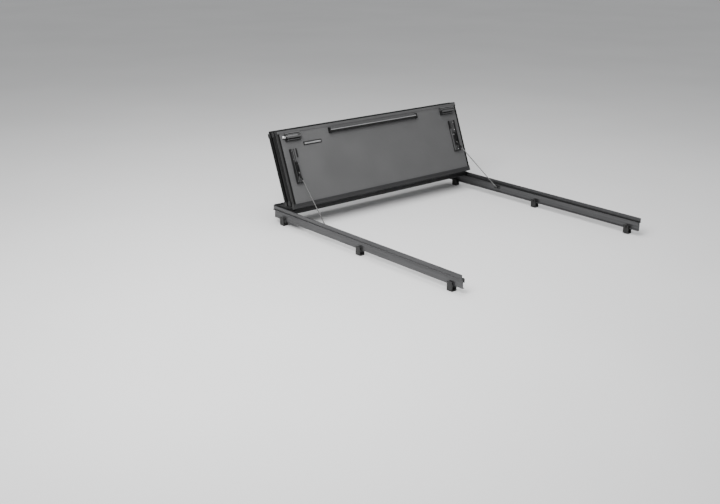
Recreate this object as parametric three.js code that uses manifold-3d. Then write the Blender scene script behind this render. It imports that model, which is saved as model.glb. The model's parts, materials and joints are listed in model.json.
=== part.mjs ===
// Hard folding tonneau cover for a pickup bed: four framed panels on two clamped side rails.
// The first panel lies flat at the front of the bed. The other three are folded up on it, face
// to face, and lean forward on two prop rods.
// Millimetres, +X to the right, +Y forward, +Z up. While it is built, Y counts from the rear axle
// and Z from the ground; the last lines move the origin to the middle of the base.
import * as THREE from "three";
import { mergeVertices } from "three/addons/utils/BufferGeometryUtils.js";
import Module from "manifold-3d";

const wasm = await Module();
wasm.setup();

// ---- Driving dimensions ----
const GAP = 0.3; // between pieces that touch
const HALF_WIDTH = 800; // of every panel
const THICKNESS = 25; // of every panel
const FLANGE = 2.5; // of the frame members, over and under the board
const WALL = 3; // of the frame members, across the panel
const SLOT_DEPTH = 8; // of the groove that holds the board's edge
const SIDE_FRAME = 14; // width of a side frame
const FRAME = 24; // width of a cross frame
const HINGE_BAND = 31; // width of the main panel's lower cross frame
const SKIN = 1.2; // thickness of a top skin
const PANEL_1 = 200.8; // lengths of the panels, front to rear
const PANEL_2 = 510;
const PANEL_3 = 480;
const PANEL_4 = 480;

const LEAN_DEG = 21.5; // of the folded stack, forward from upright
const STACK_FOOT = { y: 505, z: 1400 }; // lower rear edge of panel 2
const END_GAP = 2; // from a panel's end to its hinge axis
const TOP_HINGE = 5; // height of a hinge axis over the top faces
const UNDER_HINGE = 8.5; // depth of a hinge axis under the undersides
const FOLD_FOOT = 30; // where panels 3 and 4 end, up the stack
const BARREL_R = 4.2;
const BARREL_HOLE_R = 2.5;
const PIN_R = 2;
const KNUCKLES = 9; // on each hinge line
const KNUCKLE_SPAN = 1560;

const RAIL_FRONT = 733;
const RAIL_REAR = -965;
const RAIL_TOP = 1351.8;
const RAIL_IN = 782; // inner face of a rail
const RAIL_WEB = 797.5; // face that lies against the bed's flange
const RAIL_OUT = 812; // outer edge
const RAIL_WALL = 3.5;
const SEAL_HEIGHT = 5;
const CROSSBAR = { width: 30, height: 27.8, wall: 2.5 };
const CROSSBAR_HALF = RAIL_IN - 2 * GAP;
const CLAMP_LENGTH = 38;
const CLAMP_PLACES = { front: 640, middle: -120, rear: -880 };

const ROD_R = 3;
const ROD_FOOT = { x: 772, y: 220, z: 1335 }; // pivot on the rail
const ROD_HEAD = { x: 715, up: 225, out: 14 }; // rest in the receiver, on panel 2

const BAR_HALF = 385; // half length of a release bar
const BAR_AXIS_UP = 466;
const BAR_AXIS_OUT = 4; // of a release bar's axis, from the panel's underside
const BAR_PIVOT_R = 2;
const EAR = 8; // thickness of the ears at a bar's ends
const HOUSING_IN = 632;
const HOUSING_OUT = 750;
const HOUSING_LOW = 430;
const HOUSING_HIGH = PANEL_2 - FRAME - 0.5;
const BOLT_TIP = 777;
const BOLT_LENGTH = 120;

// ---- Materials ----
function finish(color, roughness, metalness) {
  return new THREE.MeshStandardMaterial({ color, roughness, metalness });
}
const MATERIALS = {
  board: finish(0x6a6a6a, 0.75, 0.0),
  skin: finish(0x1c1c1d, 0.65, 0.1),
  frame: finish(0x232324, 0.5, 0.4),
  rail: finish(0x3a3a3b, 0.45, 0.6),
  rubber: finish(0x101010, 0.85, 0.0),
  plastic: finish(0x161617, 0.55, 0.0),
  bar: finish(0x555556, 0.45, 0.5),
  steel: finish(0xb4b4b2, 0.3, 0.9),
  label: finish(0xa0a0a0, 0.5, 0.2),
};

// ---- Shapes ----
// A closed outline in (Y, Z), stretched along X from x0 to x1.
function alongX(outline, x0, x1, holes = []) {
  const g = new THREE.ExtrudeGeometry(shapeOf(outline, holes), {
    depth: x1 - x0,
    bevelEnabled: false,
  });
  const toYZ = new THREE.Matrix4().set(0, 0, 1, x0, 1, 0, 0, 0, 0, 1, 0, 0, 0, 0, 0, 1);
  return g.applyMatrix4(toYZ);
}

// A closed outline in (X, Z), stretched along Y from y0 to y1.
function alongY(outline, y0, y1, holes = []) {
  const g = new THREE.ExtrudeGeometry(shapeOf(outline, holes), {
    depth: y1 - y0,
    bevelEnabled: false,
  });
  return g.rotateX(Math.PI / 2).translate(0, y1, 0);
}

// Outline and holes are all made to run the same way round.
function shapeOf(outline, holes) {
  const points = (loop) => {
    const v = loop.map(([a, b]) => new THREE.Vector2(a, b));
    return THREE.ShapeUtils.isClockWise(v) ? v.reverse() : v;
  };
  const shape = new THREE.Shape(points(outline));
  shape.holes = holes.map((hole) => new THREE.Path(points(hole)));
  return shape;
}

function box([x0, x1], [y0, y1], [z0, z1]) {
  return new THREE.BoxGeometry(x1 - x0, y1 - y0, z1 - z0).translate(
    (x0 + x1) / 2,
    (y0 + y1) / 2,
    (z0 + z1) / 2,
  );
}

// Points on an arc about (a, b), from one angle to another, in degrees.
function arc(a, b, radius, from, to, steps) {
  return Array.from({ length: steps + 1 }, (_, i) => {
    const t = THREE.MathUtils.degToRad(from + ((to - from) * i) / steps);
    return [a + radius * Math.cos(t), b + radius * Math.sin(t)];
  });
}

function circle(a, b, radius, sides = 12) {
  return arc(a, b, radius, 0, 360 - 360 / sides, sides - 1);
}

// A rectangle whose corners are rounded off in two facets.
function roundedBox(a0, a1, b0, b1, r) {
  return [
    ...arc(a1 - r, b1 - r, r, 0, 90, 2),
    ...arc(a0 + r, b1 - r, r, 90, 180, 2),
    ...arc(a0 + r, b0 + r, r, 180, 270, 2),
    ...arc(a1 - r, b0 + r, r, 270, 360, 2),
  ];
}

function solid(geometry) {
  const g = geometry.clone();
  g.deleteAttribute("normal");
  g.deleteAttribute("uv");
  const merged = mergeVertices(g, 1e-4);
  return new wasm.Manifold(
    new wasm.Mesh({
      numProp: 3,
      vertProperties: new Float32Array(merged.getAttribute("position").array),
      triVerts: new Uint32Array(merged.index.array),
    }),
  );
}

function geometryOf(manifold) {
  const m = manifold.getMesh();
  const g = new THREE.BufferGeometry();
  g.setAttribute("position", new THREE.BufferAttribute(new Float32Array(m.vertProperties), 3));
  g.setIndex(new THREE.BufferAttribute(new Uint32Array(m.triVerts), 1));
  g.computeVertexNormals();
  return g;
}

// All of the geometries as one solid.
function join(...geometries) {
  return geometryOf(geometries.map(solid).reduce((sum, s) => sum.add(s)));
}

function cut(geometry, ...tools) {
  return geometryOf(tools.map(solid).reduce((left, t) => left.subtract(t), solid(geometry)));
}

function mesh(name, geometry, material) {
  const m = new THREE.Mesh(geometry, MATERIALS[material]);
  m.name = name;
  return m;
}

// Right-hand geometry, or its mirror image for the left. Both face outwards.
function mirrored(geometry, side) {
  if (side > 0) return geometry;
  const g = geometry.index ? geometry.toNonIndexed() : geometry.clone();
  const p = g.getAttribute("position");
  for (let i = 0; i < p.count; i += 3) {
    const [x, y, z] = [p.getX(i + 1), p.getY(i + 1), p.getZ(i + 1)];
    p.setXYZ(i + 1, p.getX(i + 2), p.getY(i + 2), p.getZ(i + 2));
    p.setXYZ(i + 2, x, y, z);
  }
  for (let i = 0; i < p.count; i++) p.setX(i, -p.getX(i));
  g.computeVertexNormals();
  return g;
}

const SIDES = [
  ["left", -1],
  ["right", 1],
];

// ---- Hinge knuckles ----
// Spans along X of the knuckles on one side of a hinge line: every second one.
function knuckleSpans(first) {
  const pitch = KNUCKLE_SPAN / KNUCKLES;
  const spans = [];
  for (let i = first; i < KNUCKLES; i += 2)
    spans.push([-KNUCKLE_SPAN / 2 + i * pitch + GAP, -KNUCKLE_SPAN / 2 + (i + 1) * pitch - GAP]);
  return spans;
}

// One knuckle: a barrel round the hinge axis with a foot on the panel's end.
// place turns (distance in from the end, height over the face) into the panel's Y and Z.
function knuckle(height, place, [x0, x1]) {
  const outline = [
    [0.6, -1],
    [8, -1],
    [8, 1.5],
    ...arc(-END_GAP, height, BARREL_R, 60, 310, 10),
  ];
  const hole = circle(-END_GAP, height, BARREL_HOLE_R);
  return alongX(outline.map(place), x0, x1, [hole.map(place)]);
}

// ---- A framed panel, flat: Y from 0 to its length, underside at Z = 0, top at THICKNESS ----
// low and high describe its ends: { name, width, hinge: { face, first }, crease }. A crease is a
// shallow line pressed along the underside.
function panel(name, length, low, high) {
  const group = new THREE.Group();
  for (const [end, spec] of Object.entries({ low, high }))
    group.add(mesh(name + "_" + spec.name, crossFrame(length, end, spec), "frame"));
  const y0 = low.width + GAP;
  const y1 = length - high.width - GAP;
  for (const [side, sign] of SIDES)
    group.add(mesh(name + "_" + side + "_frame", mirrored(sideFrame(y0, y1), sign), "frame"));
  const inSlot = HALF_WIDTH - WALL - 2 * GAP;
  const boardY = [low.width - SLOT_DEPTH + 2 * GAP, length - high.width + SLOT_DEPTH - 2 * GAP];
  const skinTop = THICKNESS - FLANGE - GAP;
  const boardTop = skinTop - SKIN - GAP;
  group.add(mesh(name + "_board", box([-inSlot, inSlot], boardY, [FLANGE + GAP, boardTop]), "board"));
  group.add(mesh(name + "_top_skin", box([-inSlot, inSlot], boardY, [skinTop - SKIN, skinTop]), "skin"));
  return group;
}

// A cross frame: a hollow bar with a groove for the board, and the knuckles of its hinge.
function crossFrame(length, end, { width, hinge, crease }) {
  const across = ([a, z]) => [end === "low" ? a : length - a, z];
  const top = THICKNESS;
  const creaseLine = crease ? [[crease - 2, 0], [crease, 1.2], [crease + 2, 0]] : [];
  const outline = [
    ...arc(1.5, 1.5, 1.5, 180, 270, 2),
    ...creaseLine,
    [width, 0],
    [width, FLANGE],
    [width - SLOT_DEPTH, FLANGE],
    [width - SLOT_DEPTH, top - FLANGE],
    [width, top - FLANGE],
    [width, top],
    ...arc(1.5, top - 1.5, 1.5, 90, 180, 2),
  ];
  const hollow = roundedBox(WALL, width - SLOT_DEPTH - WALL, WALL, top - WALL, 1);
  const bar = alongX(outline.map(across), -HALF_WIDTH, HALF_WIDTH, [hollow.map(across)]);
  if (!hinge) return bar;
  const onTop = hinge.face === "top";
  const place = ([a, h]) => across([a, onTop ? top + h : -h]);
  const height = onTop ? TOP_HINGE : UNDER_HINGE;
  return join(bar, ...knuckleSpans(hinge.first).map((span) => knuckle(height, place, span)));
}

// A right-hand side frame: a channel that holds the board's edge.
function sideFrame(y0, y1) {
  const [inner, outer] = [HALF_WIDTH - SIDE_FRAME, HALF_WIDTH];
  const outline = [
    [inner, 0],
    ...arc(outer - 2, 2, 2, 270, 360, 2),
    ...arc(outer - 2, THICKNESS - 2, 2, 0, 90, 2),
    [inner, THICKNESS],
    [inner, THICKNESS - FLANGE],
    [outer - WALL, THICKNESS - FLANGE],
    [outer - WALL, FLANGE],
    [inner, FLANGE],
  ];
  return alongY(outline, y0, y1);
}

// A hinge's pin, flush with the outermost knuckles.
function hingePin(name, y, z) {
  const half = KNUCKLE_SPAN / 2;
  return mesh(name, alongX(circle(y, z, PIN_R), -half, half), "steel");
}

// ---- What is fixed to the bed ----
// A rail: a top plate that rests on the bed wall, an inner lip, a web that the clamps hold against
// the bed's flange, with a foot, and an upstand beside the panels' ends.
function sideRail() {
  const plate = RAIL_TOP - RAIL_WALL;
  const lip = RAIL_IN + RAIL_WALL;
  const [webIn, webOut] = [RAIL_WEB - RAIL_WALL, RAIL_WEB];
  const [lipLow, footLow, footIn] = [1328, 1296, 784];
  const [upstandIn, upstandOut, upstandTop] = [803.5, 807, 1378];
  const outline = [
    [RAIL_IN, RAIL_TOP],
    [RAIL_IN, lipLow],
    [lip, lipLow],
    [lip, plate],
    [webIn, plate],
    [webIn, footLow + RAIL_WALL],
    [footIn, footLow + RAIL_WALL],
    [footIn, footLow],
    [webOut, footLow],
    [webOut, plate],
    [RAIL_OUT, plate],
    [RAIL_OUT, RAIL_TOP],
    [upstandOut, RAIL_TOP],
    [upstandOut, upstandTop - 1.5],
    [upstandOut - 1.5, upstandTop],
    [upstandIn, upstandTop],
    [upstandIn, RAIL_TOP],
  ];
  return alongY(outline, RAIL_REAR, RAIL_FRONT);
}

// A strip with two soft ribs, on a rail's top or on the crossbar. w0 to w1 is its width.
function sealOutline(w0, w1) {
  const [z0, z1] = [RAIL_TOP + GAP, RAIL_TOP + SEAL_HEIGHT];
  const mid = (w0 + w1) / 2;
  return [
    [w0, z0],
    [w1, z0],
    [w1, z1 - 1.5],
    [w1 - 2, z1],
    [mid + 1.5, z1],
    [mid, z1 - 2],
    [mid - 1.5, z1],
    [w0 + 2, z1],
    [w0, z1 - 1.5],
  ];
}

// A hollow bar across the front of the bed, under panel 1.
function crossbar() {
  const [y0, y1, z0] = [RAIL_FRONT - CROSSBAR.width, RAIL_FRONT, RAIL_TOP - CROSSBAR.height];
  const { wall } = CROSSBAR;
  const hollow = roundedBox(y0 + wall, y1 - wall, z0 + wall, RAIL_TOP - wall, 1);
  return alongX(roundedBox(y0, y1, z0, RAIL_TOP, 2), -CROSSBAR_HALF, CROSSBAR_HALF, [hollow]);
}

// A clamp that holds a rail to the bed's flange: a C with its screw through the inner leg.
function railClamp(y) {
  const [z0, z1, screwZ] = [1262, 1318, 1309];
  const [inner, outer, leg, chamfer] = [774, RAIL_OUT, 6, 3];
  const outline = [
    [inner, z0 + chamfer],
    [inner + chamfer, z0],
    [outer - chamfer, z0],
    [outer, z0 + chamfer],
    [outer, z1 - chamfer],
    [outer - chamfer, z1],
    [outer - leg, z1 - chamfer],
    [outer - leg, z0 + leg],
    [inner + leg, z0 + leg],
    [inner + leg, z1],
    [inner, z1],
  ];
  const body = alongY(outline, y - CLAMP_LENGTH / 2, y + CLAMP_LENGTH / 2);
  const shank = alongX(circle(y, screwZ, 4), inner - 8, RAIL_WEB - RAIL_WALL - 0.4);
  const head = alongX(circle(y, screwZ, 7.5, 6), inner - 12, inner - 7);
  return join(body, shank, head);
}

// The pivot of a prop rod: a plate against the rail, and a headed pin through the rod's eye.
function rodPivot() {
  const { y, z } = ROD_FOOT;
  const plate = alongX(roundedBox(y - 26, y + 26, z - 12, z + 12, 4), 778.5, RAIL_IN - GAP);
  const pin = alongX(circle(y, z, ROD_R), 765, 779);
  const head = alongX(circle(y, z, 6), 763.5, 766.5);
  return join(plate, pin, head);
}

// A prop rod: an eye round the pivot, and a straight rod up to the receiver.
function propRod(head) {
  const { x, y, z } = ROD_FOOT;
  const eye = alongX(circle(y, z, 8, 16), x - 4, x + 4, [circle(y, z, ROD_R + 0.7, 16)]);
  const foot = new THREE.Vector3(x, y, z);
  const axis = head.clone().sub(foot);
  const start = foot.clone().addScaledVector(axis, 5.5 / axis.length());
  const rod = new THREE.CylinderGeometry(ROD_R, ROD_R, start.distanceTo(head), 12)
    .applyQuaternion(
      new THREE.Quaternion().setFromUnitVectors(new THREE.Vector3(0, 1, 0), axis.clone().normalize()),
    )
    .translate(...start.clone().add(head).multiplyScalar(0.5).toArray());
  return join(eye, rod);
}

// ---- What is fixed to a panel's underside, in the stack's frame ----
// X across, Y up the stack, Z out of panel 2's underside. base is the board's face.
// reach is how far a piece stands out of the panel's underside.

// A latch housing with a bore for its bolt, stepped towards the panel's edge.
function latchHousing(base, face, reach, boltUp, boltR) {
  const [low, high] = [HOUSING_LOW, HOUSING_HIGH];
  const top = face + reach;
  const step = reach / 7;
  const outline = [
    [low, base],
    [high, base],
    [high, top - 4 * step],
    [high - 8, top - 3 * step],
    [high - 16, top - 3 * step],
    [high - 18, top - 1.5 * step],
    [high - 30, top - 1.5 * step],
    [high - 32, top],
    [low + 6, top],
    [low, top - 1.5 * step],
  ];
  const bore = circle(boltUp, boltHeight(face, boltR), boltR + 0.7, 16);
  return alongX(outline, HOUSING_IN, HOUSING_OUT, [bore]);
}

function boltHeight(face, boltR) {
  return face + boltR + 1.5;
}

// A latch bolt with a tip bevelled on the side that meets the rail first.
function latchBolt(face, boltUp, boltR) {
  const z = boltHeight(face, boltR);
  const shank = alongX(circle(boltUp, z, boltR, 16), BOLT_TIP - BOLT_LENGTH, BOLT_TIP);
  const bevel = alongY(
    [
      [BOLT_TIP - 5, z + boltR + 1],
      [BOLT_TIP + 1, z + boltR + 1],
      [BOLT_TIP + 1, z],
    ],
    boltUp - boltR - 1,
    boltUp + boltR + 1,
  );
  return cut(shank, bevel);
}

// The base strip of a release bar, with an ear at each end that holds the bar's pivots.
function barBracket(base, face, reach) {
  const [x0, x1] = [BAR_HALF + 1, BAR_HALF + 1 + EAR];
  const strip = box([-x1, x1], [BAR_AXIS_UP - 8, BAR_AXIS_UP + 12], [base, face]);
  const outline = roundedBox(BAR_AXIS_UP - 28, BAR_AXIS_UP + 10, base, face + reach, 3);
  const hole = circle(BAR_AXIS_UP, face + BAR_AXIS_OUT, BAR_PIVOT_R + 0.5);
  const ear = alongX(outline, x0, x1, [hole]);
  return join(strip, ear, mirrored(ear, -1));
}

function releaseBar(outline, face) {
  const bar = alongX(outline, -BAR_HALF, BAR_HALF);
  const reach = BAR_HALF + EAR - 1;
  const pivots = alongX(circle(BAR_AXIS_UP, face + BAR_AXIS_OUT, BAR_PIVOT_R), -reach, reach);
  return join(bar, pivots);
}

// Where a prop rod's head rests: a plate with a long outer wall, a short inner wall and two cheeks.
function rodReceiver(base) {
  const up = { low: 155, high: 380 };
  const [x0, x1, wall] = [ROD_HEAD.x - 25, ROD_HEAD.x + 25, 3.5];
  const plate = box([x0, x1], [up.low, up.high], [base, 0.5]);
  const outer = box([x1 - wall, x1], [up.low, up.high], [base, 18]);
  const inner = box([x0, x0 + wall], [322, up.high], [base, 14]);
  const toe = box([x0, x1], [up.low, up.low + 6], [base, 12]);
  const cheek = [[200, base], [300, base], [296, 12], [286, 19], [212, 19], [200, 10]];
  const slot = 4.5; // from the rod's axis to each cheek
  const cheeks = [ROD_HEAD.x - slot - wall, ROD_HEAD.x + slot].map((x) =>
    alongX(cheek, x, x + wall),
  );
  return join(plate, outer, inner, toe, ...cheeks);
}

// ---- The assembly ----
const cover = new THREE.Group();

for (const [side, sign] of SIDES) {
  cover.add(mesh(side + "_side_rail", mirrored(sideRail(), sign), "rail"));
  const seal = alongY(sealOutline(787.5, 802.5), RAIL_REAR, RAIL_FRONT);
  cover.add(mesh(side + "_rail_seal", mirrored(seal, sign), "rubber"));
  for (const [place, y] of Object.entries(CLAMP_PLACES))
    cover.add(mesh(side + "_" + place + "_rail_clamp", mirrored(railClamp(y), sign), "rail"));
  cover.add(mesh(side + "_rod_pivot", mirrored(rodPivot(), sign), "plastic"));
}
cover.add(mesh("front_crossbar", crossbar(), "rail"));
const frontSeal = sealOutline(RAIL_FRONT - CROSSBAR.width + 4, RAIL_FRONT - 4);
cover.add(mesh("front_seal", alongX(frontSeal, -CROSSBAR_HALF, CROSSBAR_HALF), "rubber"));

// The stack's frame: X across, Y up panel 2's underside, Z out of that face, to the rear.
const stack = new THREE.Group();
stack.position.set(0, STACK_FOOT.y, STACK_FOOT.z);
stack.rotation.x = THREE.MathUtils.degToRad(90 - LEAN_DEG);
cover.add(stack);
stack.updateMatrixWorld(true);
const inStack = (x, up, out) => stack.localToWorld(new THREE.Vector3(x, up, out));

// A panel in the stack whose underside is at out = face, and faces +Z or -Z.
function addToStack(group, up, face, facesOut) {
  group.position.set(0, up, face);
  if (facesOut) group.rotation.y = Math.PI;
  stack.add(group);
}

const foldHeight = THICKNESS + 2 * TOP_HINGE;
const panel3Face = -foldHeight - THICKNESS;
const panel4Face = panel3Face - 2 * UNDER_HINGE;

const hingeAxis = inStack(0, -END_GAP, -THICKNESS - TOP_HINGE);
const panel1 = panel(
  "panel_1",
  PANEL_1,
  { name: "hinge_frame", width: FRAME, hinge: { face: "top", first: 0 } },
  { name: "front_frame", width: FRAME },
);
panel1.position.set(0, hingeAxis.y + END_GAP, hingeAxis.z - TOP_HINGE - THICKNESS);
cover.add(panel1);
cover.add(hingePin("front_hinge_pin", hingeAxis.y, hingeAxis.z));

addToStack(
  panel(
    "panel_2",
    PANEL_2,
    { name: "lower_frame", width: HINGE_BAND, hinge: { face: "top", first: 1 }, crease: 14 },
    { name: "upper_frame", width: FRAME, hinge: { face: "top", first: 0 } },
  ),
  0,
  0,
  true,
);
stack.add(hingePin("middle_hinge_pin", PANEL_2 + END_GAP, -THICKNESS - TOP_HINGE));
addToStack(
  panel(
    "panel_3",
    PANEL_3,
    { name: "lower_frame", width: FRAME, hinge: { face: "under", first: 0 } },
    { name: "upper_frame", width: FRAME, hinge: { face: "top", first: 1 } },
  ),
  FOLD_FOOT,
  panel3Face,
  false,
);
stack.add(hingePin("rear_hinge_pin", FOLD_FOOT - END_GAP, panel3Face - UNDER_HINGE));
addToStack(
  panel(
    "panel_4",
    PANEL_4,
    { name: "lower_frame", width: FRAME, hinge: { face: "under", first: 1 } },
    { name: "upper_frame", width: FRAME },
  ),
  FOLD_FOOT,
  panel4Face,
  true,
);

const tailSeal = [
  [PANEL_2 + GAP, panel4Face - 3],
  [PANEL_2 + 9, panel4Face - 4],
  [PANEL_2 + 14, panel4Face - 9],
  [PANEL_2 + 14, panel4Face - 16],
  [PANEL_2 + 9, panel4Face - 21],
  [PANEL_2 + GAP, panel4Face - 22],
];
stack.add(mesh("tailgate_seal", alongX(tailSeal, -795, 795), "rubber"));

const recess = FLANGE + GAP; // from a frame's face to the board's face
const latches = [
  { name: "panel_2", face: 0, reach: 28, boltUp: 460, boltR: 8.5, barReach: 17.5 },
  { name: "panel_4", face: panel4Face, reach: 13.7, boltUp: 452, boltR: 4, barReach: 11 },
];
const BAR_OUTLINES = {
  panel_2: [
    [462, 1.5],
    [470, 1.5],
    [472.5, 4],
    [472.5, 10.5],
    [469, 14.5],
    [447, 17],
    [441.5, 15],
    [441.5, 9],
    [444.5, 9],
    [446, 12.5],
    [467, 10.5],
    [468.5, 9],
    [468.5, 7],
    [462, 7],
  ],
  panel_4: [
    [444, 3],
    [446, 2],
    [470, 1.5],
    [470, 7],
    [444, 7.5],
  ],
};
for (const { name, face, reach, boltUp, boltR, barReach } of latches) {
  const base = face - recess + GAP;
  for (const [side, sign] of SIDES) {
    const housing = latchHousing(base, face, reach, boltUp, boltR);
    stack.add(mesh(name + "_" + side + "_latch_housing", mirrored(housing, sign), "plastic"));
    const bolt = latchBolt(face, boltUp, boltR);
    stack.add(mesh(name + "_" + side + "_latch_bolt", mirrored(bolt, sign), "steel"));
  }
  const outline = BAR_OUTLINES[name].map(([up, out]) => [up, face + out]);
  stack.add(mesh(name + "_release_bar", releaseBar(outline, face), "bar"));
  stack.add(mesh(name + "_bar_bracket", barBracket(base, face, barReach), "plastic"));
}

for (const [side, sign] of SIDES) {
  stack.add(mesh(side + "_rod_receiver", mirrored(rodReceiver(-recess + GAP), sign), "plastic"));
  const head = inStack(ROD_HEAD.x, ROD_HEAD.up, ROD_HEAD.out);
  cover.add(mesh(side + "_prop_rod", mirrored(propRod(head), sign), "steel"));
}
const label = box([-615, -468], [390, 414], [-recess + GAP, 0]);
stack.add(mesh("label_plate", label, "label"));

// The origin: the middle of the base of everything as it stands folded.
const bounds = new THREE.Box3().setFromObject(cover, true);
cover.position.set(0, -(bounds.min.y + bounds.max.y) / 2, -bounds.min.z);

export default cover;
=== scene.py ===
import json
import math

import bmesh
import bpy
from mathutils import Matrix, Vector

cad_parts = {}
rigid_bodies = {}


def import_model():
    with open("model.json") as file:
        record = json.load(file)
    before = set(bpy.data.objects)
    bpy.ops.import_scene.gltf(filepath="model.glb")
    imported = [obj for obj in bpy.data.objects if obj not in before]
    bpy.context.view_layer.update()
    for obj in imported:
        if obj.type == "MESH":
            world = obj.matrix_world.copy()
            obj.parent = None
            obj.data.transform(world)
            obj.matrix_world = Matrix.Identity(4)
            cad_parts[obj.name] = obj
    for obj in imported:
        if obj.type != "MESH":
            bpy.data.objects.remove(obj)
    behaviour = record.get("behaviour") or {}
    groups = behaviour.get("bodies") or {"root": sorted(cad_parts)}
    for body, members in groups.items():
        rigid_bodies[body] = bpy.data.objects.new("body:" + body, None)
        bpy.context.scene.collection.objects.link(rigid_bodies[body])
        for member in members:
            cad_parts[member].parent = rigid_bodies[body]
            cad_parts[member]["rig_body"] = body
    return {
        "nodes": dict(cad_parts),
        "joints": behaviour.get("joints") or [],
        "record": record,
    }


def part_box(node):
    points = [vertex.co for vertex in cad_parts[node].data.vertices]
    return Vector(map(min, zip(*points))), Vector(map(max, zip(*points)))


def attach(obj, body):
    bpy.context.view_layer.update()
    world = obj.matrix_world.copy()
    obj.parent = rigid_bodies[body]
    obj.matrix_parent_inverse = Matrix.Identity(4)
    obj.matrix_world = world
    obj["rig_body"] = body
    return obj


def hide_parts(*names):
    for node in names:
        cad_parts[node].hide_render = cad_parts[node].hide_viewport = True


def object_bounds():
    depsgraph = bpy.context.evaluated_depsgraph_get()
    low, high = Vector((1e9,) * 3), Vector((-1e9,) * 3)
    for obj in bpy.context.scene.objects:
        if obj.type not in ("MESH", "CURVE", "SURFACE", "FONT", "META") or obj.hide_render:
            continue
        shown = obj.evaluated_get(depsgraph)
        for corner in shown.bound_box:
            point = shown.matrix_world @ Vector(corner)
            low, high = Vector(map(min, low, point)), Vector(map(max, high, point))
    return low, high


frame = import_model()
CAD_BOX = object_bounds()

# ---- Driving values, in metres and degrees ----
LEAN = math.radians(21.5)  # the folded stack leans forward from upright
THICKNESS = 0.025  # of a panel
HINGE_RISE = 0.005  # of the top hinges over the panels' top faces
END_GAP = 0.002  # from a panel's end to its hinge axis
HALF_WIDTH = 0.800
PANEL_2_LENGTH = 0.510
FOLD_FOOT = 0.030  # where panels 3 and 4 end, up the stack
FRAME_WIDTH = 0.024
BAND_WIDTH = 0.031  # of panel 2's lower frame
RECESS = 0.0028  # of a board's face under its frame's face
PRESS_GAP = 0.0003  # from a piece's back to the board that it sits on
SIDE_TRIM = 0.0155  # width of the black edge of panel 2's side frames
TOP_TRIM_START = 0.503  # up panel 2, where its upper frame's black edge starts
SEAL_HALF = 0.766  # of the seals in the hinge gaps, across
CAP_ENDS = (0.0002, 0.0029)  # of an end cap, outwards from the end of its frame
CAP_OVERLAP = 0.006  # of an end cap, past its frame's inner edge
CAP_CORNER = 0.005

HOUSING_FOOT = 0.430  # lower end of a latch housing, up panel 2
# painted light: the housing's upper half is painted paler, as lit from above
HOUSING_SPLIT = 0.4590  # above it the housing is paler
RIB_LOW, RIB_HIGH = 0.0075, 0.0095  # out of panel 2, from the housing's hollows to its ribs
BOLT_AXIS = (0.460, 0.010)  # of panel 2's latch bolts: up the stack, and out of panel 2
BOLT_R = 0.0085
BOLT_4_R = 0.0040
BAR_SHADE_UP = 0.4570  # upper edge of the painted shade on the release bar's lower edge, up the stack
PIVOT_END = 0.007  # of the release bar's pivots beyond its ends
PIVOT_AXIS = (0.466, 0.004)  # up the stack, and out of panel 2
PIVOT_R = 0.002
EAR_START = 0.3855  # from the middle plane to the ears of the bar's bracket
BAR_SCREW_PITCH = 0.170
BAR_SCREW_UP = 0.4755
LABEL_LOW, LABEL_HIGH = 0.390, 0.414  # up panel 2
LABEL_RIM = 0.0076

ROD_R = 0.003
ROD_FOOT_X = 0.772
ROD_HEAD = (0.715, 0.225, 0.014)  # across, up the stack, and out of panel 2
ROD_START = 0.0062  # from the pivot's axis to the rod, clear of its eye
BOOT_LENGTH = 0.052
BOOT_END = 0.012  # from the boot's upper end to the rod's head
RECEIVER_STRIPS = ((0.6902, 0.7068), (0.7108, 0.7192), (0.7232, 0.7362))  # across, round the cheeks
RECEIVER_LOW, RECEIVER_HIGH = 0.1612, 0.3798  # up panel 2
RECEIVER_FACE = 0.0050  # out of panel 2
RECEIVER_SCREW_X = 0.7298
RECEIVER_SCREW_UPS = (0.170, 0.312, 0.366)
STUD_FOOT = (0.7068, 0.278, 0.0125)  # across, up the stack, and out of panel 2

CAMERA = Vector((-4.4200, -4.2678, 1.9386))
CAMERA_YAW = 40.561  # clockwise from +Y
CAMERA_PITCH = 19.011  # below the horizon
CAMERA_ROLL = 0.360
CAMERA_LENS = 49.70

# ---- The stack's frame: X across, U up panel 2, N out of its underside ----
X = Vector((1, 0, 0))
U = Vector((0, math.sin(LEAN), math.cos(LEAN)))
N = Vector((0, -math.cos(LEAN), math.sin(LEAN)))
JOINTS = {joint["name"]: joint for joint in frame["joints"]}


def joint_place(name):
    return Vector(JOINTS[name]["pos_m"])


FOOT = joint_place("stack_tilt") + END_GAP * U + (THICKNESS + HINGE_RISE) * N
STACK = Matrix((
    (X.x, U.x, N.x, FOOT.x),
    (X.y, U.y, N.y, FOOT.y),
    (X.z, U.z, N.z, FOOT.z),
    (0, 0, 0, 1),
))
PANEL_3_FACE = -2 * THICKNESS - 2 * HINGE_RISE
PANEL_4_FACE = PANEL_3_FACE - 0.017
SIDES = (("left", -1), ("right", 1))


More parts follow.
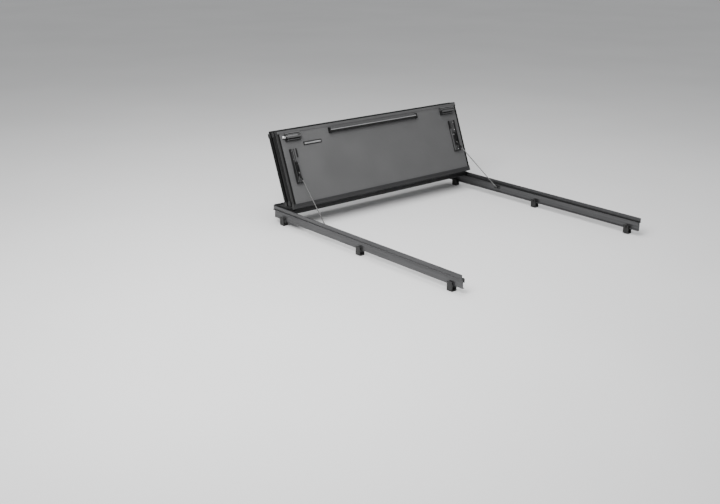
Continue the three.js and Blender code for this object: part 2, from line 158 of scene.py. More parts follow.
# ---- Materials ----
class Look:
    """A node material with one Principled shader, painted in the object's own coordinates."""

    def __init__(self, name, roughness, metallic=0.0, specular=0.5):
        self.material = bpy.data.materials.new(name)
        self.material.use_nodes = True
        self.tree = self.material.node_tree
        self.shader = self.tree.nodes["Principled BSDF"]
        self.shader.inputs["Metallic"].default_value = metallic
        self.shader.inputs["Roughness"].default_value = roughness
        self.shader.inputs["Specular IOR Level"].default_value = specular
        self.coords = self.tree.nodes.new("ShaderNodeTexCoord")

    def node(self, kind, inputs=None, **settings):
        made = self.tree.nodes.new(kind)
        for key, value in settings.items():
            setattr(made, key, value)
        for key, value in (inputs or {}).items():
            if isinstance(value, bpy.types.NodeSocket):
                self.tree.links.new(value, made.inputs[key])
            else:
                made.inputs[key].default_value = value
        return made

    def link(self, socket, shader_input):
        self.tree.links.new(socket, self.shader.inputs[shader_input])

    def noise(self, scale, detail=3.0, roughness=0.55, stretch=(1, 1, 1)):
        """Noise from 0 to 1 with scale features per metre, stretched along an axis by a small number."""
        place = self.node("ShaderNodeMapping", {"Vector": self.coords.outputs["Object"], "Scale": stretch})
        made = self.node(
            "ShaderNodeTexNoise",
            {"Vector": place.outputs["Vector"], "Scale": scale, "Detail": detail, "Roughness": roughness},
        )
        return made.outputs["Fac"]

    def cells(self, scale):
        made = self.node("ShaderNodeTexVoronoi", {"Vector": self.coords.outputs["Object"], "Scale": scale})
        return made.outputs["Distance"]

    def spread(self, socket, low, high, source=(0.3, 0.7)):
        made = self.node(
            "ShaderNodeMapRange",
            {"Value": socket, "From Min": source[0], "From Max": source[1], "To Min": low, "To Max": high},
        )
        return made.outputs["Result"]

    def mix(self, factor, a, b):
        made = self.node("ShaderNodeMix", data_type="RGBA")
        for value, index in ((factor, 0), (a, 6), (b, 7)):
            if isinstance(value, bpy.types.NodeSocket):
                self.tree.links.new(value, made.inputs[index])
            elif index == 0:
                made.inputs[index].default_value = value
            else:
                made.inputs[index].default_value = (*value, 1.0)
        return made.outputs[2]

    def multiply(self, a, b):
        """The product of two colours."""
        made = self.node("ShaderNodeMix", data_type="RGBA", blend_type="MULTIPLY")
        made.inputs[0].default_value = 1.0
        self.tree.links.new(a, made.inputs[6])
        self.tree.links.new(b, made.inputs[7])
        return made.outputs[2]

    def times(self, a, b):
        return self.node("ShaderNodeMath", {0: a, 1: b}, operation="MULTIPLY").outputs[0]

    def plus(self, a, b):
        return self.node("ShaderNodeMath", {0: a, 1: b}, operation="ADD").outputs[0]

    def facing(self, direction):
        """1 where the surface faces the direction at rest, 0 where it faces away or sideways."""
        dot = self.node(
            "ShaderNodeVectorMath",
            {0: self.coords.outputs["Normal"], 1: tuple(direction)},
            operation="DOT_PRODUCT",
        )
        return self.spread(dot.outputs["Value"], 0.0, 1.0, (0.52, 0.92))

    def height(self, direction, low, high):
        """0 below low and 1 above high, measured from the origin along a direction at rest."""
        dot = self.node(
            "ShaderNodeVectorMath",
            {0: self.coords.outputs["Object"], 1: tuple(direction)},
            operation="DOT_PRODUCT",
        )
        return self.spread(dot.outputs["Value"], 0.0, 1.0, (low, high))

    def distance_from_middle(self, low, high):
        """0 nearer the cover's middle plane than low, and 1 further out than high."""
        across = self.node("ShaderNodeSeparateXYZ", {0: self.coords.outputs["Object"]}).outputs["X"]
        distance = self.node("ShaderNodeMath", {0: across}, operation="ABSOLUTE").outputs[0]
        return self.spread(distance, 0.0, 1.0, (low, high))

    def varied(self, cloud, colour, low, high):
        """A colour that goes from low to high times itself with a cloud of noise."""
        return self.mix(self.spread(cloud, 0, 1), shade(colour, low), shade(colour, high))

    def mottled(self, tone, factor, low, high):
        """A tone made darker or lighter, from low to high times itself."""
        return self.multiply(tone, self.mix(factor, (low, low, low), (high, high, high)))

    def bump(self, socket, distance, strength):
        made = self.node("ShaderNodeBump", {"Height": socket, "Distance": distance, "Strength": strength})
        self.link(made.outputs["Normal"], "Normal")


def shade(colour, factor):
    return tuple(c * factor for c in colour)


def board_look(name, colour):
    """The fine orange-peel texture of a moulded composite sheet."""
    look = Look(name, 0.6, specular=0.4)
    cloud = look.noise(5, detail=4)
    grain = look.noise(900, detail=2, roughness=0.7)
    tone = look.varied(cloud, colour, 0.93, 1.07)
    speck = look.spread(grain, 0, 1, (0.35, 0.65))
    look.link(look.mottled(tone, speck, 0.82, 1.18), "Base Color")
    look.link(look.spread(cloud, 0.55, 0.68), "Roughness")
    look.bump(look.plus(look.times(grain, 0.7), look.times(look.cells(420), 0.5)), 0.0005, 0.55)
    return look.material


def powder_coat(look, cloud):
    """The fine grain and slightly uneven gloss of a powder coat."""
    look.link(look.spread(cloud, 0.46, 0.54), "Roughness")
    look.bump(look.noise(1400, detail=2), 0.0003, 0.35)


def coated_look(name, face, sides, specular=0.3):
    """A powder-coated extrusion with painted light: a lighter tone, painted as sky reflection, on the face
    that looks along N, and a darker tone elsewhere.
    """
    look = Look(name, 0.5, specular=specular)
    cloud = look.noise(9, detail=3)
    lit_face_tone = look.varied(cloud, face, 0.92, 1.08)
    side_tone = look.varied(cloud, sides, 0.85, 1.2)
    # painted light: the face that looks along N takes the lighter, reflecting tone
    look.link(look.mix(look.facing(N), side_tone, lit_face_tone), "Base Color")
    powder_coat(look, cloud)
    return look.material


def side_trim(look):
    start = HALF_WIDTH - SIDE_TRIM
    return look.distance_from_middle(start - 0.0005, start + 0.0005)


def top_trim(look):
    start = FOOT.dot(U) + TOP_TRIM_START
    return look.height(U, start - 0.0005, start + 0.0005)


def trimmed_look(name, face, edge, side, trim, specular):
    """Panel 2's outer frames: a grey face, painted lighter as sky reflection, with a black outer edge, over
    darker sides.
    """
    look = Look(name, 0.5, specular=specular)
    cloud = look.noise(9, detail=3)
    # painted light: the face that looks along N takes the lighter, reflecting tone
    tone = look.mix(look.facing(N), side, look.mix(trim(look), face, edge))
    look.link(look.mottled(tone, look.spread(cloud, 0, 1), 0.92, 1.08), "Base Color")
    powder_coat(look, cloud)
    return look.material


def skin_look(name, colour):
    """The cover's top sheet: satin black with a pebbled, tiny-celled texture."""
    look = Look(name, 0.55, specular=0.35)
    cloud = look.noise(3, detail=2)
    pebble = look.cells(650)
    tone = look.varied(cloud, colour, 0.92, 1.08)
    pore = look.spread(pebble, 0, 1, (0.1, 0.6))
    look.link(look.mottled(tone, pore, 1.12, 0.82), "Base Color")
    look.link(look.spread(cloud, 0.53, 0.58), "Roughness")
    look.bump(pebble, 0.0006, 0.5)
    return look.material


def anodised_look(name, colour):
    """Drawn, anodised aluminium: fine lines along Y, slightly uneven sheen."""
    look = Look(name, 0.38, metallic=0.75)
    lines = look.noise(260, detail=4, stretch=(1, 0.01, 1))
    cloud = look.noise(6, detail=3)
    look.link(look.varied(lines, colour, 0.82, 1.18), "Base Color")
    look.link(look.spread(cloud, 0.32, 0.46), "Roughness")
    look.bump(lines, 0.0002, 0.3)
    return look.material


def rubber_look(name, colour):
    """Matt extruded rubber with a dry, patchy surface."""
    look = Look(name, 0.72, specular=0.2)
    cloud = look.noise(14, detail=3)
    look.link(look.varied(cloud, colour, 0.8, 1.35), "Base Color")
    look.link(look.spread(cloud, 0.65, 0.82), "Roughness")
    look.bump(look.noise(700, detail=3), 0.0004, 0.4)
    return look.material


def moulded_look(name, colour, roughness=0.48):
    """Injection-moulded plastic with a fine spark-eroded grain."""
    look = Look(name, roughness, specular=0.32)
    cloud = look.noise(22, detail=3)
    look.link(look.varied(cloud, colour, 0.88, 1.14), "Base Color")
    look.link(look.spread(cloud, roughness - 0.06, roughness + 0.08), "Roughness")
    look.bump(look.cells(1500), 0.0003, 0.35)
    return look.material


def bar_shade_look(name, colour, lip):
    """The release bar's coat: its lower edge painted black as shade, and a pale line above that as a
    painted highlight.
    """
    look = Look(name, 0.45, specular=0.3)
    cloud = look.noise(9, detail=3)
    bar_up = FOOT.dot(U) + BAR_SHADE_UP
    above = look.height(U, bar_up - 0.0004, bar_up + 0.0004)
    line = look.height(U, bar_up + 0.0036, bar_up + 0.0044)
    # painted highlight: a pale line, five times lighter than the coat
    coat = look.mix(line, shade(colour, 5.0), colour)
    # painted shade: below the line the bar's lower edge takes the black tone
    tone = look.mix(above, lip, coat)
    look.link(look.mottled(tone, look.spread(cloud, 0, 1), 0.9, 1.1), "Base Color")
    look.link(look.spread(above, 0.7, 0.48, (0, 1)), "Roughness")
    look.bump(look.noise(1400, detail=2), 0.0003, 0.35)
    return look.material


def bracket_look(name, strip, ears):
    """The release bar's bracket: a grey base strip between black ears."""
    look = Look(name, 0.5, specular=0.25)
    cloud = look.noise(22, detail=3)
    at_ears = look.distance_from_middle(EAR_START - 0.0003, EAR_START + 0.0003)
    tone = look.mix(at_ears, strip, ears)
    look.link(look.mottled(tone, look.spread(cloud, 0, 1), 0.9, 1.1), "Base Color")
    look.link(look.spread(cloud, 0.44, 0.56), "Roughness")
    look.bump(look.cells(1500), 0.0003, 0.3)
    return look.material


def housing_look(name, hollow_shade, crest_highlight, upper_hollow_shade, upper_crest_highlight):
    """Moulded plastic with painted light: a painted highlight on the high ribs, painted shade in the
    hollows, and the upper half painted paler as lit from above.
    """
    look = Look(name, 0.45, specular=0.45)
    cloud = look.noise(22, detail=3)
    rise = look.height(N, FOOT.dot(N) + RIB_LOW, FOOT.dot(N) + RIB_HIGH)
    split = FOOT.dot(U) + HOUSING_SPLIT
    upper = look.height(U, split, split + 0.0015)
    low_tone = look.mix(upper, hollow_shade, upper_hollow_shade)
    high_tone = look.mix(upper, crest_highlight, upper_crest_highlight)
    # painted highlight on the high ribs that face N, painted shade in the hollows
    tone = look.mix(look.times(rise, look.facing(N)), low_tone, high_tone)
    look.link(look.mottled(tone, look.spread(cloud, 0, 1), 0.88, 1.12), "Base Color")
    look.link(look.spread(cloud, 0.4, 0.52), "Roughness")
    look.bump(look.cells(1500), 0.0003, 0.3)
    return look.material


def metal_look(name, colour, roughness, stretch=(1, 1, 1)):
    """Bare or plated metal: small dull patches, and a fine grain that stretch draws out into lines."""
    look = Look(name, roughness, metallic=1.0)
    patches = look.noise(60, detail=4)
    lines = look.noise(900, detail=2, stretch=stretch)
    look.link(look.varied(patches, colour, 0.85, 1.1), "Base Color")
    look.link(look.spread(patches, roughness * 0.75, roughness * 1.35), "Roughness")
    look.bump(lines, 0.0001, 0.25)
    return look.material


def floor_look(name):
    look = Look(name, 0.8, specular=0.2)
    cloud = look.noise(0.6, detail=2)
    look.link(look.varied(cloud, FLOOR_GREY, 0.975, 1.025), "Base Color")
    return look.material


GREY = (0.084, 0.084, 0.085)
BLACK = (0.008, 0.008, 0.0083)
# painted light on the latch housings: highlights on the ribs, shade in the hollows, a paler upper half
CREST_HIGHLIGHT = (0.058, 0.058, 0.059)  # the latch housings' ribs
UPPER_HOLLOW_SHADE = (0.036, 0.036, 0.037)
UPPER_CREST_HIGHLIGHT = (0.092, 0.092, 0.093)
FLOOR_GREY = (0.80, 0.80, 0.80)
BAR_GREY = (0.050, 0.050, 0.051)
SIDE_EDGE = (0.003, 0.003, 0.003)
SIDE_WALL = (0.024, 0.024, 0.024)
LOOKS = {
    "board": board_look("board", GREY),
    "skin": skin_look("top_skin", (0.015, 0.015, 0.0155)),
    "frame": trimmed_look("frame_upper", (0.080, 0.080, 0.081), BLACK, BLACK, top_trim, 0.2),
    "side": trimmed_look("frame_side", (0.070, 0.070, 0.071), SIDE_EDGE, SIDE_WALL, side_trim, 0.15),
    "band": coated_look("frame_lower_band", (0.030, 0.030, 0.031), BLACK, 0.2),
    "frame_dark": coated_look("frame_panel_3", (0.02, 0.02, 0.02), (0.004, 0.004, 0.004), 0.15),
    "frame_hinged": coated_look("frame_hinged", BLACK, BLACK, 0.2),
    "frame_black": coated_look("frame_panel_4", (0.006, 0.006, 0.0062), (0.003, 0.003, 0.003), 0.1),
    "rail": anodised_look("rail", (0.085, 0.085, 0.087)),
    "rubber": rubber_look("rubber", (0.007, 0.007, 0.007)),
    "plastic": moulded_look("plastic", (0.009, 0.009, 0.0093)),
    "cap": moulded_look("end_cap", (0.013, 0.013, 0.0132)),
    "housing": housing_look("latch_housing", BLACK, CREST_HIGHLIGHT, UPPER_HOLLOW_SHADE, UPPER_CREST_HIGHLIGHT),
    "bracket": bracket_look("bar_bracket", (0.075, 0.075, 0.076), (0.006, 0.006, 0.006)),
    "receiver": coated_look("receiver_base", (0.072, 0.072, 0.073), BLACK),
    "clamp": moulded_look("cast_clamp", (0.016, 0.016, 0.016), 0.4),
    "bar": bar_shade_look("release_bar", BAR_GREY, (0.004, 0.004, 0.004)),
    "bar_4": coated_look("release_bar_panel_4", BAR_GREY, BAR_GREY),
    "steel": metal_look("zinc_steel", (0.15, 0.15, 0.148), 0.44),
    # a darker, duller steel; on panel 2's right-hand bolt it stands as painted shade
    "dull_and_shaded_steel": metal_look("dull_and_shaded_steel", (0.07, 0.07, 0.069), 0.5),
    "chrome": metal_look("chrome", (0.9, 0.9, 0.9), 0.16),
    "label": metal_look("label_foil", (0.630, 0.630, 0.630), 0.45, stretch=(0.02, 1, 1)),
}


# ---- Mesh helpers ----
def finish_mesh(name, bm, look, body, bevel=0.0, replaces=(), smooth=35):
    """Turns bm, in the row frame, into a piece that rides on a body."""
    bmesh.ops.remove_doubles(bm, verts=bm.verts, dist=1e-6)
    bmesh.ops.recalc_face_normals(bm, faces=bm.faces)
    mesh = bpy.data.meshes.new(name)
    bm.to_mesh(mesh)
    bm.free()
    mesh.shade_smooth()
    mesh.set_sharp_from_angle(angle=math.radians(smooth))
    mesh.materials.append(LOOKS[look])
    piece = bpy.data.objects.new(name, mesh)
    bpy.context.scene.collection.objects.link(piece)
    if bevel:
        edge = piece.modifiers.new("edges", "BEVEL")
        edge.width = bevel
        edge.segments = 2
        edge.limit_method = "ANGLE"
        edge.angle_limit = math.radians(smooth)
        edge.harden_normals = True
    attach(piece, body)
    if replaces:
        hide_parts(*replaces)


def add_between(bm, first, last):
    """A closed piece between two copies of an outline."""
    ends = [[bm.verts.new(point) for point in outline] for outline in (first, last)]
    bm.faces.new(ends[0])
    bm.faces.new(reversed(ends[1]))
    for i in range(len(first)):
        j = (i + 1) % len(first)
        bm.faces.new((ends[0][j], ends[0][i], ends[1][i], ends[1][j]))


def add_prism(bm, outline, x0, x1, place):
    """An outline in (up, out) stretched along X, put in the row frame by place."""
    add_between(bm, *([place @ Vector((x, a, b)) for a, b in outline] for x in (x0, x1)))


def add_ring(bm, loops):
    """A closed piece round a hole: each loop of points is joined to the next, and the last to the first."""
    loops = [[bm.verts.new(point) for point in loop] for loop in loops]
    for one, two in zip(loops, loops[1:] + loops[:1]):
        for i in range(len(one)):
            j = (i + 1) % len(one)
            bm.faces.new((one[i], one[j], two[j], two[i]))


def add_turned(bm, profile, start, axis, sides):
    """A closed turned piece: profile is (distance along axis, radius), from axis to axis or in a loop."""
    axis = axis.normalized()
    across = axis.orthogonal().normalized()
    other = axis.cross(across)
    rings = []
    for along, radius in profile:
        centre = start + along * axis
        if radius < 1e-7:
            rings.append([bm.verts.new(centre)])
            continue
        ring = []
        for i in range(sides):
            turn = 2 * math.pi * i / sides
            ring.append(bm.verts.new(centre + radius * (math.cos(turn) * across + math.sin(turn) * other)))
        rings.append(ring)
    for low, high in zip(rings, rings[1:]):
        for i in range(sides):
            j = (i + 1) % sides
            if len(low) == 1:
                bm.faces.new((low[0], high[i], high[j]))
            elif len(high) == 1:
                bm.faces.new((low[i], low[j], high[0]))
            else:
                bm.faces.new((low[i], low[j], high[j], high[i]))


def arc(a, b, radius, start, end, steps):
    """Points on an arc about (a, b), angles in degrees."""
    turns = [math.radians(start + (end - start) * i / steps) for i in range(steps + 1)]
    return [(a + radius * math.cos(t), b + radius * math.sin(t)) for t in turns]


def rounded_box(a0, a1, b0, b1, radius, steps=4):
    return [
        *arc(a1 - radius, b1 - radius, radius, 0, 90, steps),
        *arc(a0 + radius, b1 - radius, radius, 90, 180, steps),
        *arc(a0 + radius, b0 + radius, radius, 180, 270, steps),
        *arc(a1 - radius, b0 + radius, radius, 270, 360, steps),
    ]


def add_screw(bm, x, up, out, radius):
    """A domed screw head with a round socket, standing on (x, up, out) of the stack."""
    dome = [(0, 0), (0, 1), (0.25, 1), (0.5, 0.86), (0.62, 0.55)]
    socket = [(0.62, 0.5), (0.2, 0.45), (0.2, 0)]
    profile = [(radius * along, radius * away) for along, away in dome + socket]
    add_turned(bm, profile, STACK @ Vector((x, up, out)), N, 24)


# ---- CAD nodes with finer edges ----
SLOTS = {part["node"]: part["material_slot"] for part in frame["record"]["subparts"]}


def refine(node, look, bevel):
    """A copy of a CAD node with its flat faces cleaned and its edges rounded stands for it."""
    source = frame["nodes"][node]
    bm = bmesh.new()
    bm.from_mesh(source.data)
    bmesh.ops.remove_doubles(bm, verts=bm.verts, dist=1e-6)
    bmesh.ops.dissolve_limit(bm, angle_limit=math.radians(0.5), verts=bm.verts, edges=bm.edges)
    finish_mesh(node + "_fine", bm, look, source["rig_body"], bevel, (node,))


def paint(node, look):
    """A CAD node keeps its mesh and takes a better material."""
    mesh = frame["nodes"][node].data
    mesh.materials.clear()
    mesh.materials.append(LOOKS[look])


FRAME_LOOKS = {
    "panel_2_lower_frame": "band",
    "panel_2_upper_frame": "frame",
    "panel_1": "frame_dark",
    "panel_1_hinge_frame": "frame_hinged",
    "panel_3": "frame_dark",
    "panel_3_lower_frame": "frame_hinged",
    "panel_3_upper_frame": "frame_hinged",
    "panel_4": "frame_black",
    "panel_4_lower_frame": "frame_hinged",
}


def make_panels():
    for number in range(1, 5):
        name = f"panel_{number}"
        paint(name + "_board", "board")
        paint(name + "_top_skin", "skin")
        frames = [n for n in SLOTS if n.startswith(name) and n.endswith("_frame")]
        for node in frames:
            refine(node, FRAME_LOOKS.get(node, FRAME_LOOKS.get(name, "side")), 0.0005)
    for place in ("front", "middle", "rear"):
        paint(place + "_hinge_pin", "steel")


CAP_LOOKS = {"panel_2_upper": "cap", "panel_2_lower": "cap", "panel_3_upper": "cap"}


def end_caps():
    """Moulded caps on the open ends of the cross frames, with rounded corners."""
    flat = Matrix.Translation(joint_place("stack_tilt") + Vector((0, END_GAP, -HINGE_RISE - THICKNESS)))
    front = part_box("panel_1_front_frame")
    length_1 = front[1].y - flat.translation.y
    rows = [
        ("panel_1_rear", "root", flat, 0, 1, FRAME_WIDTH, 0, 1),
        ("panel_1_front", "root", flat, length_1, -1, FRAME_WIDTH, 0, 1),
        ("panel_2_lower", "panel_2", STACK, 0, 1, BAND_WIDTH, 0, -1),
        ("panel_2_upper", "panel_2", STACK, PANEL_2_LENGTH, -1, FRAME_WIDTH, 0, -1),
        ("panel_3_lower", "panel_3", STACK, FOLD_FOOT, 1, FRAME_WIDTH, PANEL_3_FACE, 1),
        ("panel_3_upper", "panel_3", STACK, PANEL_2_LENGTH, -1, FRAME_WIDTH, PANEL_3_FACE, 1),
        ("panel_4_lower", "panel_4", STACK, FOLD_FOOT, 1, FRAME_WIDTH, PANEL_4_FACE, -1),
        ("panel_4_upper", "panel_4", STACK, PANEL_2_LENGTH, -1, FRAME_WIDTH, PANEL_4_FACE, -1),
    ]
    for name, body, place, end, inward, width, face, rise in rows:
        a = sorted((end, end + inward * (width + CAP_OVERLAP)))
        b = sorted((face, face + rise * THICKNESS))
        for side, sign in SIDES:
            x0, x1 = sorted(sign * (HALF_WIDTH + reach) for reach in CAP_ENDS)
            bm = bmesh.new()
            add_prism(bm, rounded_box(*a, *b, CAP_CORNER), x0, x1, place)
            look = CAP_LOOKS.get(name, "plastic")
            finish_mesh(f"{name}_{side}_end_cap", bm, look, body, 0.0009)


def gap_seals():
    """Soft strips that close the hinge gap between two panels, short of the end caps."""
    rows = [
        ("panel_2_upper", "panel_2", PANEL_2_LENGTH, -0.0215, -0.0045),
        ("panel_3_upper", "panel_3", PANEL_2_LENGTH, PANEL_3_FACE + 0.005, PANEL_3_FACE + 0.0205),
    ]
    for name, body, up, n0, n1 in rows:
        bm = bmesh.new()
        outline = rounded_box(up + 0.0001, up + END_GAP - 0.0002, n0, n1, 0.0008, 3)
        add_prism(bm, outline, -SEAL_HALF, SEAL_HALF, STACK)
        finish_mesh(name + "_gap_seal", bm, "rubber", body)


# ---- Latches ----
def latch_housing(node, body):
    """A ribbed housing: a back plate, stepped ribs above and a hooded lip below the bolt."""
    low, high = HOUSING_FOOT, PANEL_2_LENGTH - FRAME_WIDTH - 0.0005
    base = -RECESS + PRESS_GAP
    x0, x1 = (corner.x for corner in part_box(node))
    outline = [
        (low, base), (high - 0.001, base), (high, 0.004), (high, 0.0105),
        *arc(high - 0.0045, 0.0105, 0.0035, 20, 160, 5),
        (high - 0.0090, 0.0080), (high - 0.0105, 0.0080),
        *arc(high - 0.0150, 0.0130, 0.0040, 20, 160, 5),
        (high - 0.0200, 0.0100), (high - 0.0215, 0.0100),
        *arc(high - 0.0320, 0.0200, 0.0080, 25, 150, 6),
        (low + 0.0165, 0.0175), (low + 0.0160, 0.0072), (low + 0.0105, 0.0072), (low + 0.0100, 0.0170),
        *arc(low + 0.0075, 0.0190, 0.0026, 20, 160, 5),
        (low + 0.0048, 0.0175), (low + 0.0042, 0.0062), (low, 0.0055),
    ]
    bm = bmesh.new()
    add_prism(bm, outline, x0, x1, STACK)
    finish_mesh(node + "_ribbed", bm, "housing", body, 0.0007, (node,))
    bm = bmesh.new()
    for x in (x0 + 0.018, x1 - 0.018):
        add_screw(bm, x, low + 0.0132, 0.0070, 0.0024)
    finish_mesh(node + "_screws", bm, "steel", body)
    bolt_mouth(node, body, x1 if x1 > 0 else x0)


def bolt_mouth(node, body, end):
    """A dark collar round the bolt, on the housing's outboard end."""
    outboard = math.copysign(1, end)
    x0, x1 = end + outboard * 0.0002, end + outboard * 0.0022
    outer = arc(*BOLT_AXIS, BOLT_R + 0.0036, 0, 360, 32)[:-1]
    inner = arc(*BOLT_AXIS, BOLT_R + 0.0007, 0, 360, 32)[:-1]
    loops = []
    for outline, x in ((inner, x0), (outer, x0), (outer, x1), (inner, x1)):
        loops.append([STACK @ Vector((x, a, b)) for a, b in outline])
    bm = bmesh.new()
    add_ring(bm, loops)
    finish_mesh(node + "_mouth", bm, "plastic", body)


def latch_bolt(node, body, radius, look):
    """A bolt with a rounded nose."""
    low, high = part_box(node)
    outboard = 1 if high.x > 0 else -1
    length = high.x - low.x
    start = (low + high) / 2 - outboard * length / 2 * X
    turns = [math.radians(a) for a in range(0, 90, 12)]
    nose = 0.8 * radius
    curve = [(length - nose + nose * math.sin(t), radius * math.cos(t)) for t in turns]
    profile = [(0, 0), (0, radius * 0.9), (0.0006, radius), *curve, (length, 0)]
    bm = bmesh.new()
    add_turned(bm, profile, start, outboard * X, 32)
    finish_mesh(node + "_turned", bm, look, body, replaces=(node,))


def release_bar():
    """Panel 2's long pull bar: a rolled lip hung between two end ears, in (up, out) of the stack."""
    node, body = "panel_2_release_bar", "panel_2_bar"
    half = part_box(node)[1].x - PIVOT_END
    outline = [
        (0.4625, 0.0018), (0.4700, 0.0018), *arc(0.4695, 0.0050, 0.0030, -60, 0, 3),
        (0.4725, 0.0100), *arc(0.4680, 0.0102, 0.0045, 0, 75, 5),
        (0.4475, 0.0169), *arc(0.4452, 0.0132, 0.0037, 80, 180, 5), (0.4415, 0.0092),
        (0.4442, 0.0092), *arc(0.4462, 0.0122, 0.0020, 180, 80, 3),
        (0.4670, 0.0108), (0.4688, 0.0090), (0.4688, 0.0070), (0.4625, 0.0070),
    ]
    bm = bmesh.new()
    add_prism(bm, outline, -half, half, STACK)
    reach = half + PIVOT_END
    start = STACK @ Vector((-reach, *PIVOT_AXIS))
    add_turned(bm, [(0, 0), (0, PIVOT_R), (2 * reach, PIVOT_R), (2 * reach, 0)], start, X, 20)
    finish_mesh(node + "_rolled", bm, "bar", body, replaces=(node,), smooth=50)
    refine("panel_2_bar_bracket", "bracket", 0.0008)
    bm = bmesh.new()
    for i in range(-2, 3):
        add_screw(bm, i * BAR_SCREW_PITCH, BAR_SCREW_UP, 0.0, 0.0030)
    finish_mesh("panel_2_bar_bracket_screws", bm, "steel", "panel_2")


def make_latches():
    for side, _ in SIDES:
        latch_housing(f"panel_2_{side}_latch_housing", "panel_2")
        bolt_steel_by_light = "chrome" if side == "left" else "dull_and_shaded_steel"  # the right-hand bolt takes the darker steel as painted shade
        latch_bolt(f"panel_2_{side}_latch_bolt", f"panel_2_{side}_bolt", BOLT_R, bolt_steel_by_light)
        refine(f"panel_4_{side}_latch_housing", "plastic", 0.0006)
        latch_bolt(f"panel_4_{side}_latch_bolt", f"panel_4_{side}_bolt", BOLT_4_R, "dull_and_shaded_steel")
    release_bar()
    refine("panel_4_release_bar", "bar_4", 0.0005)
    refine("panel_4_bar_bracket", "plastic", 0.0006)


def label_plate():
    """A blank plate: a dark rim with a pale inset."""
    node = "label_plate"
    x0, x1 = (corner.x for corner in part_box(node))
    plate = rounded_box(LABEL_LOW, LABEL_HIGH, -RECESS + PRESS_GAP, 0.0, 0.0008, 2)
    bm = bmesh.new()
    add_prism(bm, plate, x0, x1, STACK)
    finish_mesh(node + "_rim", bm, "plastic", "panel_2", 0.0005, (node,))
    inset = rounded_box(LABEL_LOW + LABEL_RIM, LABEL_HIGH - LABEL_RIM, 0.0001, 0.0007, 0.0002, 1)
    bm = bmesh.new()
    add_prism(bm, inset, x0 + LABEL_RIM, x1 - LABEL_RIM, STACK)
    finish_mesh(node + "_inset", bm, "label", "panel_2", 0.0002)


# ---- Prop rods and their receivers ----
def prop_rod(side, sign):
    """A rod with a thicker root, an eye round its pivot on the rail, and a ribbed boot at its head."""
    node, body = f"{side}_prop_rod", f"{side}_rod"
    pivot = joint_place(f"{side}_rod_swing") + Vector((sign * ROD_FOOT_X, 0, 0))
    across, up, out = ROD_HEAD
    head = STACK @ Vector((sign * across, up, out))
    axis = (head - pivot).normalized()
    length = (head - pivot).length - ROD_START
    root = [(0, 0), (0, 1.3 * ROD_R), (0.016, 1.3 * ROD_R), (0.019, ROD_R)]
    tip = [(length - 0.001, ROD_R), (length, 0.7 * ROD_R), (length, 0)]
    bm = bmesh.new()
    add_turned(bm, root + tip, pivot + axis * ROD_START, axis, 24)
    add_ring(bm, eye_loops(pivot))
    finish_mesh(node + "_smooth", bm, "steel", body, replaces=(node,))
    rod_boot(side, body, head - axis * (BOOT_LENGTH + BOOT_END), axis)
    refine(f"{side}_rod_pivot", "clamp", 0.0006)


def eye_loops(centre):
    """The section of a rod's eye, (across, away from its centre), set in turns round the X axis."""
    section = [
        (-0.004, 0.0037), (0.004, 0.0037), (0.004, 0.0072),
        (0.0033, 0.008), (-0.0033, 0.008), (-0.004, 0.0072),
    ]
    loops = []
    for a, b in arc(0, 0, 1, 0, 360, 32)[:-1]:
        spoke = Vector((0, a, b))
        loops.append([centre + across * X + away * spoke for across, away in section])
    return loops


def rod_boot(side, body, start, axis):
    ribs = [(0.006, 0.0050), (0.010, 0.0044), (0.014, 0.0052), (0.018, 0.0046), (0.022, 0.0054)]
    bore = 0.0031
    outside = [(0, 0.0042), *ribs, (BOOT_LENGTH - 0.004, 0.0056), (BOOT_LENGTH, 0.0048)]
    bm = bmesh.new()
    add_turned(bm, [(0, bore), *outside, (BOOT_LENGTH, bore), (0, bore)], start, axis, 24)
    finish_mesh(f"{side}_rod_boot", bm, "rubber", body)


def rod_receiver(side, sign):
    """The receiver on panel 2, with base strips between its cheeks, screws and a bright stud."""
    refine(f"{side}_rod_receiver", "plastic", 0.0006)
    outline = rounded_box(RECEIVER_LOW, RECEIVER_HIGH, -0.0020, RECEIVER_FACE, 0.0012, 2)
    bm = bmesh.new()
    for strip in RECEIVER_STRIPS:
        add_prism(bm, outline, *sorted(sign * x for x in strip), STACK)
    finish_mesh(f"{side}_receiver_base", bm, "receiver", "panel_2", 0.0005)
    bm = bmesh.new()
    for up in RECEIVER_SCREW_UPS:
        add_screw(bm, sign * RECEIVER_SCREW_X, up, RECEIVER_FACE, 0.0034)
    across, up, out = STUD_FOOT
    stud = [(0, 0), (0, 0.0052), (0.0018, 0.0052), (0.0030, 0.0044), (0.0036, 0.0026), (0.0036, 0)]
    add_turned(bm, stud, STACK @ Vector((sign * across, up, out)), -sign * X, 24)
    finish_mesh(f"{side}_receiver_screws", bm, "chrome", "panel_2")


# ---- Rails ----
def rail_seal(side):
    node = f"{side}_rail_seal"
    xs, ys, zs = zip(*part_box(node))
    add_seal(node, xs, zs, ys, lambda a, b, t: Vector((a, t, b)))


def front_seal():
    xs, ys, zs = zip(*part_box("front_seal"))
    add_seal("front_seal", ys, zs, xs, lambda a, b, t: Vector((t, a, b)))


def add_seal(node, width, height, run, place):
    """Two soft bulbs side by side on a shared base, put in the row frame by place."""
    z0, z1 = height
    base = z0 + 0.0012
    middle = (width[0] + width[1]) / 2
    quarter = (width[1] - width[0]) / 4
    outline = [(width[1], z0), (width[1], base)]
    for centre in (middle + quarter, middle - quarter):
        for a, b in arc(0, 0, 1, 8, 172, 8):
            outline.append((centre + 0.94 * quarter * a, base + (z1 - base) * b))
    outline += [(width[0], base), (width[0], z0)]
    bm = bmesh.new()
    add_between(bm, *([place(a, b, t) for a, b in outline] for t in run))
    finish_mesh(node + "_bulbs", bm, "rubber", "root", replaces=(node,), smooth=60)


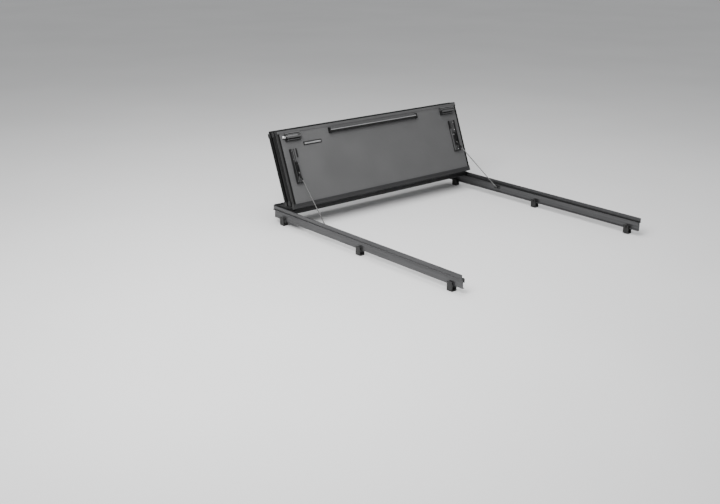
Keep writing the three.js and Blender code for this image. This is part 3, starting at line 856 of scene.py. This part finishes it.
def make_rails():
    for side, sign in SIDES:
        refine(f"{side}_side_rail", "rail", 0.0006)
        rail_seal(side)
        prop_rod(side, sign)
        rod_receiver(side, sign)
        for place in ("front", "middle", "rear"):
            refine(f"{side}_{place}_rail_clamp", "clamp", 0.0008)
    refine("front_crossbar", "rail", 0.0006)
    front_seal()
    refine("tailgate_seal", "rubber", 0.0012)


# ---- Camera, floor and lights ----
def make_camera():
    yaw, pitch, roll = (math.radians(a) for a in (CAMERA_YAW, CAMERA_PITCH, CAMERA_ROLL))
    ahead = Vector((math.sin(yaw) * math.cos(pitch), math.cos(yaw) * math.cos(pitch), -math.sin(pitch)))
    right = ahead.cross(Vector((0, 0, 1))).normalized()
    up = right.cross(ahead)
    right_rolled = math.cos(roll) * right + math.sin(roll) * up
    up_rolled = math.cos(roll) * up - math.sin(roll) * right
    camera = bpy.data.objects.new("camera", bpy.data.cameras.new("camera"))
    camera.data.lens = CAMERA_LENS
    camera.data.sensor_width = 36
    camera.matrix_world = Matrix((
        (right_rolled.x, up_rolled.x, -ahead.x, CAMERA.x),
        (right_rolled.y, up_rolled.y, -ahead.y, CAMERA.y),
        (right_rolled.z, up_rolled.z, -ahead.z, CAMERA.z),
        (0, 0, 0, 1),
    ))
    bpy.context.scene.collection.objects.link(camera)
    bpy.context.scene.camera = camera


def make_floor():
    bm = bmesh.new()
    bmesh.ops.create_grid(bm, x_segments=8, y_segments=8, size=30)
    mesh = bpy.data.meshes.new("floor")
    bm.to_mesh(mesh)
    bm.free()
    mesh.materials.append(floor_look("floor"))
    floor = bpy.data.objects.new("floor", mesh)
    floor.location.z = CAD_BOX[0].z - 0.0005
    bpy.context.scene.collection.objects.link(floor)


def add_light(name, place, target, size, power):
    light = bpy.data.lights.new(name, "AREA")
    light.shape = "RECTANGLE"
    light.size, light.size_y = size
    light.energy = power
    lamp = bpy.data.objects.new(name, light)
    lamp.location = place
    lamp.rotation_euler = (Vector(target) - Vector(place)).to_track_quat("-Z", "Y").to_euler()
    bpy.context.scene.collection.objects.link(lamp)


def make_lights():
    middle = (0, 0.2, 0.3)
    add_light("key", (-3.1, -1.2, 2.9), middle, (2.2, 1.8), 165)
    add_light("top", (-1.0, 0.4, 4.2), middle, (4.0, 4.0), 190)
    add_light("fill", (4.0, -2.0, 2.2), middle, (2.5, 2.5), 6)
    world = bpy.data.worlds.new("studio")
    world.use_nodes = True
    background = world.node_tree.nodes["Background"]
    background.inputs["Color"].default_value = (0.93, 0.94, 0.95, 1)
    background.inputs["Strength"].default_value = 0.50
    bpy.context.scene.world = world


make_camera()
make_panels()
end_caps()
gap_seals()
make_latches()
label_plate()
make_rails()
make_floor()
make_lights()
